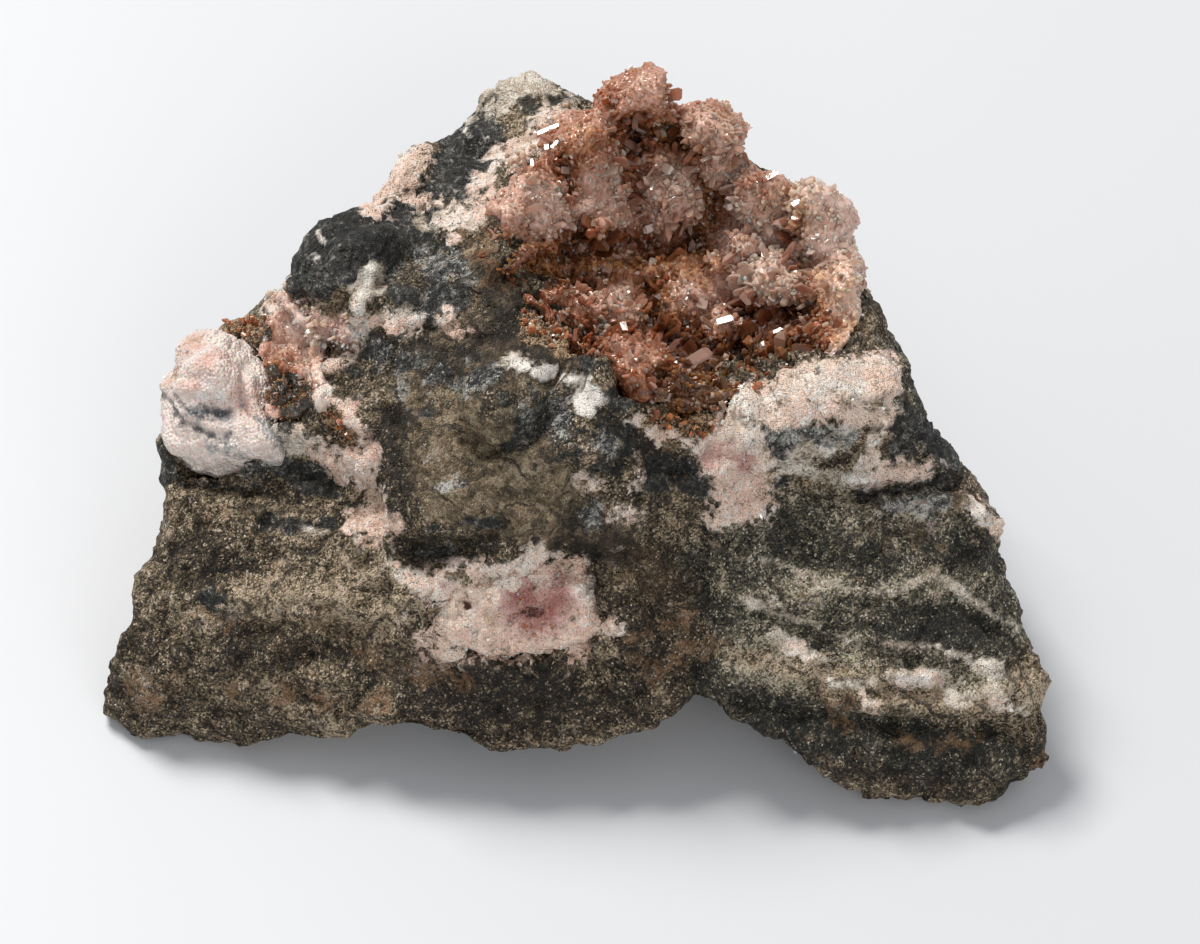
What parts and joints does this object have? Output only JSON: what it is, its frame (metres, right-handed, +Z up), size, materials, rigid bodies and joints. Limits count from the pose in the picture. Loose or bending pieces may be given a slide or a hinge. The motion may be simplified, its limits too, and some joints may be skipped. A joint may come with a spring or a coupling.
{
  "type": "rhodochrosite on matrix",
  "caption": "Mineral specimen: a broken block of dark host rock on three natural feet, its hollow lined with pink rhodochrosite crystals.",
  "frame": {"origin": "middle of the bounding box's bottom, on the surface that the three feet stand on", "axes": "+Z up, +X along the length to the right as seen from the front, front towards -Y"},
  "size_m": [0.0804, 0.061, 0.0374],
  "materials": {
    "host_rock": "rough broken rock with fine sparkling grains",
    "rhodochrosite_crystals": "glassy translucent crystal blades",
    "banded_rhodochrosite": "fine-grained, waxy, banded",
    "side_druse": "small glassy crystals over crumbly brown oxide",
    "front_druse": "sugary fine crystals"
  },
  "bodies": {
    "root": {"matrix": "host_rock", "vug_crust": "rhodochrosite_crystals", "banded_nodule": "banded_rhodochrosite", "side_crust": "side_druse", "front_druse": "front_druse"}
  },
  "joints": []
}
